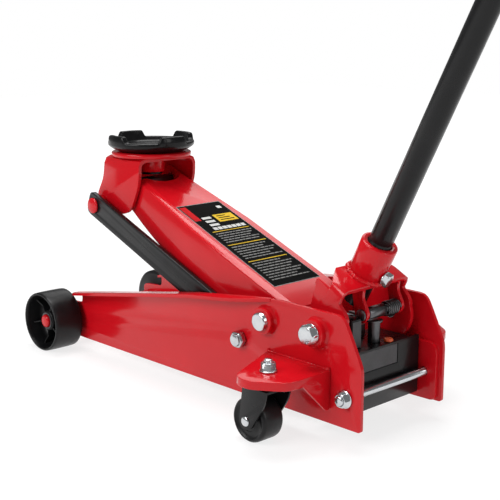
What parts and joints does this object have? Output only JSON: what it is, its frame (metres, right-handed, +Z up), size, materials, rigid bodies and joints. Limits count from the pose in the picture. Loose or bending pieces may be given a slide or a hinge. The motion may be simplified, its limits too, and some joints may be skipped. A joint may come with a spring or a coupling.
{
  "type": "trolley jack",
  "caption": "Wheeled hydraulic trolley jack with a channel lift arm, level-keeping links, a round saddle, swivel casters and a long pump handle",
  "frame": {"origin": "bottom centre of the bounding box: on the floor, midway between the two sides, and half-way from the front wheels to the end of the handle", "axes": "+X points back from the front wheels towards the handle, +Y to the right of someone standing at the handle, +Z up"},
  "size_m": [1.0931, 0.368, 1.1687],
  "materials": {
    "red_paint": "gloss enamel over pressed steel",
    "black_paint": "gloss black enamel",
    "black_iron": "cast, painted satin black",
    "zinc": "bright zinc plating",
    "steel": "plain machined steel",
    "black_plastic": "satin moulded nylon",
    "black_rubber": "soft foam grip",
    "orange_plastic": "soft moulded plug"
  },
  "bodies": {
    "frame": {"side_plate_left": "red_paint", "side_plate_right": "red_paint", "front_axle": "red_paint", "axle_tube": "red_paint", "rear_tie_rod": "zinc", "tie_rod_nut_left": "zinc", "tie_rod_nut_right": "zinc", "lift_shaft": "zinc", "link_bolt_left": "zinc", "link_bolt_right": "zinc", "link_nut_left": "zinc", "link_nut_right": "zinc", "yoke_bolt_left": "zinc", "yoke_bolt_right": "zinc", "pump_block": "black_paint", "ram_cylinder": "black_paint", "oil_tank": "black_paint", "filler_plug": "orange_plastic", "caster_bracket_left": "red_paint", "caster_bracket_right": "red_paint", "kingpin_left": "zinc", "kingpin_right": "zinc", "kingpin_nut_left": "zinc", "kingpin_nut_right": "zinc"},
    "arm": {"lift_arm": "red_paint", "arm_front_pin": "steel"},
    "link_left": {"parallel_link_left": "black_paint"},
    "link_right": {"parallel_link_right": "black_paint"},
    "saddle_carrier": {"saddle_bracket": "red_paint", "saddle_plate": "red_paint", "link_pin_left": "red_paint", "link_pin_right": "red_paint"},
    "saddle_cup": {"saddle": "black_iron", "saddle_clip": "black_iron"},
    "ram_unit": {"ram": "steel", "pull_link_left": "steel", "pull_link_right": "steel"},
    "plunger": {"pump_plunger": "steel"},
    "valve": {"release_valve": "steel"},
    "yoke": {"handle_yoke": "red_paint", "handle_sleeve": "red_paint", "clamp_bolt": "zinc", "roller_pin": "steel", "return_spring": "black_iron"},
    "roller": {"pump_roller": "steel"},
    "handle": {"handle_lower": "black_paint", "handle_upper": "black_paint", "handle_grip": "black_rubber", "handle_cap": "black_plastic"},
    "wheel_left": {"front_wheel_left": "black_plastic"},
    "wheel_right": {"front_wheel_right": "black_plastic"},
    "fork_left": {"caster_fork_left": "black_paint", "caster_axle_left": "zinc"},
    "fork_right": {"caster_fork_right": "black_paint", "caster_axle_right": "zinc"},
    "roll_left": {"caster_wheel_left": "black_plastic"},
    "roll_right": {"caster_wheel_right": "black_plastic"}
  },
  "joints": [
    {"name": "lift", "type": "hinge", "parent": "frame", "child": "arm", "pos_m": [-0.0455, 0, 0.133], "axis": [0, 1, 0], "range_deg": [-31, 32]},
    {"name": "link_left_pivot", "type": "hinge", "parent": "frame", "child": "link_left", "pos_m": [-0.0925, -0.068, 0.098], "axis": [0, 1, 0], "range_deg": [-31, 32]},
    {"name": "link_right_pivot", "type": "hinge", "parent": "frame", "child": "link_right", "pos_m": [-0.0925, 0.068, 0.098], "axis": [0, 1, 0], "range_deg": [-31, 32]},
    {"name": "saddle_level", "type": "hinge", "parent": "arm", "child": "saddle_carrier", "pos_m": [-0.39302, 0, 0.26849], "axis": [0, 1, 0], "range_deg": [-32, 31]},
    {"name": "saddle_turn", "type": "hinge", "parent": "saddle_carrier", "child": "saddle_cup", "pos_m": [-0.3845, 0, 0.3], "axis": [0, 0, 1], "continuous": true},
    {"name": "ram_stroke", "type": "slide", "parent": "frame", "child": "ram_unit", "axis": [-1, 0, 0], "range_m": [-0.039, 0.0403]},
    {"name": "handle_pump", "type": "hinge", "parent": "frame", "child": "yoke", "pos_m": [0.0445, 0, 0.136], "axis": [0, 1, 0], "range_deg": [-15, 48]},
    {"name": "roller_spin", "type": "hinge", "parent": "yoke", "child": "roller", "pos_m": [0.06647, 0, 0.15099], "axis": [0, 1, 0], "continuous": true},
    {"name": "plunger_stroke", "type": "slide", "parent": "frame", "child": "plunger", "axis": [0, 0, -1], "range_m": [-0.0065, 0.0205]},
    {"name": "handle_twist", "type": "hinge", "parent": "yoke", "child": "handle", "pos_m": [0.0514, 0, 0.1982], "axis": [0.4462, 0, 0.8949], "range_deg": [0, 180]},
    {"name": "valve_turn", "type": "hinge", "parent": "frame", "child": "valve", "pos_m": [0.0285, 0, 0.1], "axis": [0, 0, 1], "range_deg": [0, 180]},
    {"name": "wheel_left_spin", "type": "hinge", "parent": "frame", "child": "wheel_left", "pos_m": [-0.4995, -0.114, 0.047], "axis": [0, 1, 0], "continuous": true},
    {"name": "wheel_right_spin", "type": "hinge", "parent": "frame", "child": "wheel_right", "pos_m": [-0.4995, 0.114, 0.047], "axis": [0, 1, 0], "continuous": true},
    {"name": "caster_left_swivel", "type": "hinge", "parent": "frame", "child": "fork_left", "pos_m": [0.0195, -0.1415, 0.08], "axis": [0, 0, 1], "continuous": true},
    {"name": "caster_right_swivel", "type": "hinge", "parent": "frame", "child": "fork_right", "pos_m": [0.0195, 0.1415, 0.08], "axis": [0, 0, 1], "continuous": true},
    {"name": "caster_left_roll", "type": "hinge", "parent": "fork_left", "child": "roll_left", "pos_m": [0.0015, -0.1415, 0.029], "axis": [0, 1, 0], "continuous": true},
    {"name": "caster_right_roll", "type": "hinge", "parent": "fork_right", "child": "roll_right", "pos_m": [0.0015, 0.1415, 0.029], "axis": [0, 1, 0], "continuous": true}
  ],
  "couplings": [
    {"joint": "link_left_pivot", "follows": "lift", "ratio": 1},
    {"joint": "link_right_pivot", "follows": "lift", "ratio": 1},
    {"joint": "saddle_level", "follows": "lift", "ratio": -1},
    {"joint": "ram_stroke", "follows": "lift", "m_per_rad": 0.072},
    {"joint": "plunger_stroke", "follows": "handle_pump", "m_per_rad": 0.0242},
    {"joint": "valve_turn", "follows": "handle_twist", "ratio": 1}
  ]
}
